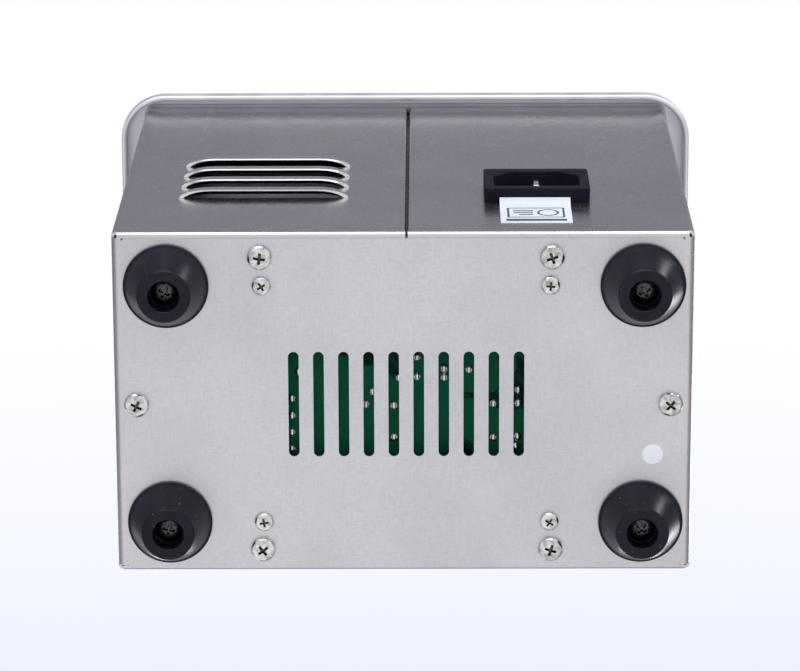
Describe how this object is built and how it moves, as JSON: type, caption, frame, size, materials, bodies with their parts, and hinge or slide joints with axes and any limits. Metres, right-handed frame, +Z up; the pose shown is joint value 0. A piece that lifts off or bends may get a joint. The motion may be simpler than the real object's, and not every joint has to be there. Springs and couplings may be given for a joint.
{
  "type": "benchtop ultrasonic cleaner",
  "caption": "Small benchtop ultrasonic cleaner: folded steel casing on rubber feet, overhanging drawn tank with lid and basket, rear louvres and mains inlet, front controls.",
  "frame": {"origin": "centre of the footprint, on the surface under the rubber feet", "axes": "+Z up; the control panel faces -Y; the mains inlet is on the back wall, on the -X side"},
  "size_m": [0.1774, 0.108, 0.199],
  "materials": {
    "satin_stainless": "fine satin rolled stainless sheet",
    "polished_stainless": "polished deep-drawn stainless",
    "foot_rubber": "moulded black rubber, satin",
    "plated_screws": "bright nickel plating",
    "spacer_brass": "plain brass",
    "board_green": "green solder mask over glass epoxy",
    "ferrite": "sintered ferrite and filled epoxy",
    "copper_wire": "enamelled copper winding",
    "capacitor_sleeve": "printed shrink sleeve",
    "film_red": "epoxy-dipped film capacitor",
    "sink_aluminium": "extruded or turned aluminium",
    "package_black": "moulded epoxy package",
    "fuse_glass": "clear glass tube with end caps",
    "clip_tin": "tin- or nickel-plated brass",
    "connector_cream": "natural nylon",
    "inlet_black": "black moulded nylon, satin",
    "label_white": "white coated label film",
    "silicone_seal": "translucent silicone",
    "piezo_ceramic": "fired piezo ceramic, silvered faces",
    "mass_steel": "turned steel",
    "fascia_dark": "dark moulded fascia, fine texture",
    "window_red": "dark red tinted acrylic",
    "button_grey": "light grey moulded key",
    "lead_brown": "PVC insulation",
    "lead_green": "green and yellow PVC insulation",
    "lead_red": "red PVC insulation",
    "ribbon_grey": "flat grey PVC cable",
    "basket_wire": "welded stainless wire and mesh"
  },
  "bodies": {
    "root": {"casing_wrap": "satin_stainless", "base_plate": "satin_stainless", "foot_front_left": "foot_rubber", "foot_front_right": "foot_rubber", "foot_back_left": "foot_rubber", "foot_back_right": "foot_rubber", "foot_screws": "plated_screws", "foot_nuts": "plated_screws", "base_screws": "plated_screws", "board_screws": "plated_screws", "board_spacers": "spacer_brass", "board_nuts": "plated_screws", "power_board": "board_green", "transformer_core": "ferrite", "transformer_winding": "copper_wire", "tuning_inductor": "copper_wire", "bulk_capacitor": "capacitor_sleeve", "film_capacitors": "film_red", "heat_sink": "sink_aluminium", "power_transistors": "package_black", "bridge_rectifier": "package_black", "mains_fuse": "fuse_glass", "fuse_clips": "clip_tin", "board_connectors": "connector_cream", "inlet_socket": "inlet_black", "inlet_pins": "clip_tin", "rear_label": "label_white", "inspection_sticker": "label_white", "earth_stud": "plated_screws", "earth_nut": "plated_screws", "earth_terminal": "spacer_brass", "tank": "polished_stainless", "tank_seal": "silicone_seal", "transducer_bond": "ferrite", "transducer_front_mass": "sink_aluminium", "piezo_rings": "piezo_ceramic", "electrode_plates": "spacer_brass", "transducer_back_mass": "mass_steel", "transducer_bolt": "mass_steel", "front_fascia": "fascia_dark", "display_window": "window_red", "display_module": "package_black", "control_board": "board_green", "tact_switches": "package_black", "control_screws": "plated_screws", "rocker_housing": "inlet_black", "rocker_terminals": "spacer_brass", "mains_leads": "lead_brown", "earth_lead": "lead_green", "transducer_leads": "lead_red", "ribbon_cable": "ribbon_grey"},
    "lid": {"lid": "polished_stainless", "lid_knob": "inlet_black", "lid_screw": "plated_screws"},
    "basket": {"basket_mesh": "basket_wire", "basket_frame": "basket_wire"},
    "rocker": {"rocker": "inlet_black"},
    "button_time_down": {"button_time_down": "button_grey"},
    "button_start": {"button_start": "button_grey"},
    "button_time_up": {"button_time_up": "button_grey"}
  },
  "joints": [
    {"name": "lid_lift", "type": "slide", "parent": "root", "child": "lid", "axis": [0, 0, 1], "range_m": [0, 0.2]},
    {"name": "basket_lift", "type": "slide", "parent": "root", "child": "basket", "axis": [0, 0, 1], "range_m": [0, 0.091]},
    {"name": "rocker_tilt", "type": "hinge", "parent": "root", "child": "rocker", "pos_m": [0.034, -0.0485, 0.066], "axis": [-1, 0, 0], "range_deg": [0, 14]},
    {"name": "button_time_down_press", "type": "slide", "parent": "root", "child": "button_time_down", "axis": [0, 1, 0], "range_m": [0, 0.0008], "stiffness_N_per_m": 400, "springref_m": -0.001},
    {"name": "button_start_press", "type": "slide", "parent": "root", "child": "button_start", "axis": [0, 1, 0], "range_m": [0, 0.0008], "stiffness_N_per_m": 400, "springref_m": -0.001},
    {"name": "button_time_up_press", "type": "slide", "parent": "root", "child": "button_time_up", "axis": [0, 1, 0], "range_m": [0, 0.0008], "stiffness_N_per_m": 400, "springref_m": -0.001}
  ],
  "couplings": [
    {"joint": "basket_lift", "follows": "lid_lift", "ratio": 0.45}
  ]
}
